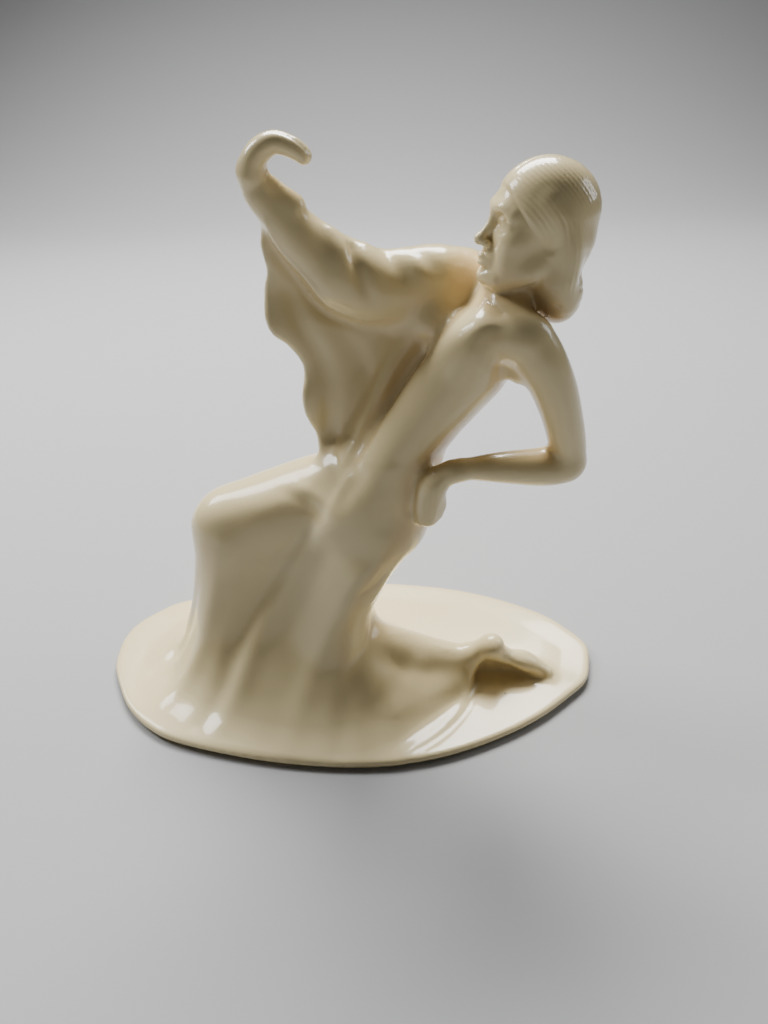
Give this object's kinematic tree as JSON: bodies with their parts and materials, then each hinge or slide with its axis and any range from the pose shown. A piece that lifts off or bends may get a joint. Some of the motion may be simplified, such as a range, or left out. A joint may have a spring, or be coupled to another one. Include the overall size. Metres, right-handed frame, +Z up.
{
  "type": "porcelain dancer figurine",
  "caption": "Glazed porcelain figurine of a kneeling dancer in a draped gown on an oval plinth, one arm raised and one hand on the hip.",
  "frame": {"origin": "bottom centre of the whole figurine's box, on the table under the plinth's foot ring", "axes": "+X runs along the plinth toward the trailing foot, the dancer faces -X; +Y is away from the viewing side; +Z is up"},
  "size_m": [0.1381, 0.0698, 0.1386],
  "materials": {
    "ivory_glaze": "gloss"
  },
  "bodies": {
    "root": {"base_plinth": "ivory_glaze", "skirt_front": "ivory_glaze", "skirt_train": "ivory_glaze", "left_foot": "ivory_glaze", "torso": "ivory_glaze", "neck": "ivory_glaze", "head": "ivory_glaze", "hair_cap": "ivory_glaze", "hair_roll": "ivory_glaze", "left_upper_arm": "ivory_glaze", "left_forearm": "ivory_glaze", "left_hand": "ivory_glaze", "right_sleeve_upper": "ivory_glaze", "right_sleeve_forearm": "ivory_glaze", "right_hand": "ivory_glaze", "sleeve_drape": "ivory_glaze"}
  },
  "joints": []
}
